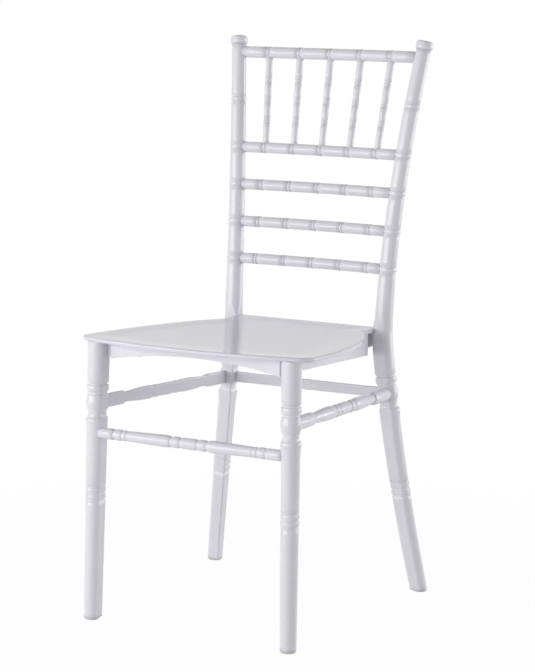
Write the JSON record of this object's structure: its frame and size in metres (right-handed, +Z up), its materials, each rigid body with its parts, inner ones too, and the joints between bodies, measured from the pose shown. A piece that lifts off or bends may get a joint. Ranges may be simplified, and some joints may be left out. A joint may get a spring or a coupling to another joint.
{
  "type": "chiavari chair",
  "caption": "Armless dining chair with turned bamboo-look legs, a flared spindle and rail back, thin curved one-piece seat, arched aprons and turned stretchers, in glossy white resin.",
  "frame": {"origin": "floor level, in the middle of the chair's overall width and depth", "axes": "+Z up, the front of the chair faces -Y, +X is the right-hand side seen from the front"},
  "size_m": [0.4222, 0.4975, 0.9151],
  "materials": {
    "resin": "smooth moulded gloss",
    "glide": "matt",
    "screw": "zinc plated"
  },
  "bodies": {
    "root": {"bracket_screws": "screw", "crest_rail": "resin", "finial_left": "resin", "finial_right": "resin", "front_apron": "resin", "front_corner_bracket_left": "resin", "front_corner_bracket_right": "resin", "front_glide_left": "glide", "front_glide_right": "glide", "front_leg_left": "resin", "front_leg_right": "resin", "front_stretcher": "resin", "lower_back_rail_1": "resin", "lower_back_rail_2": "resin", "lower_back_rail_3": "resin", "rear_apron": "resin", "rear_corner_bracket_left": "resin", "rear_corner_bracket_right": "resin", "rear_glide_left": "glide", "rear_glide_right": "glide", "rear_post_left": "resin", "rear_post_right": "resin", "rear_stretcher": "resin", "seat_panel": "resin", "seat_screws": "screw", "side_apron_left": "resin", "side_apron_right": "resin", "side_stretcher_left": "resin", "side_stretcher_right": "resin", "spindle_1": "resin", "spindle_2": "resin", "spindle_3": "resin", "spindle_4": "resin", "spindle_5": "resin", "upper_back_rail": "resin"}
  },
  "joints": []
}
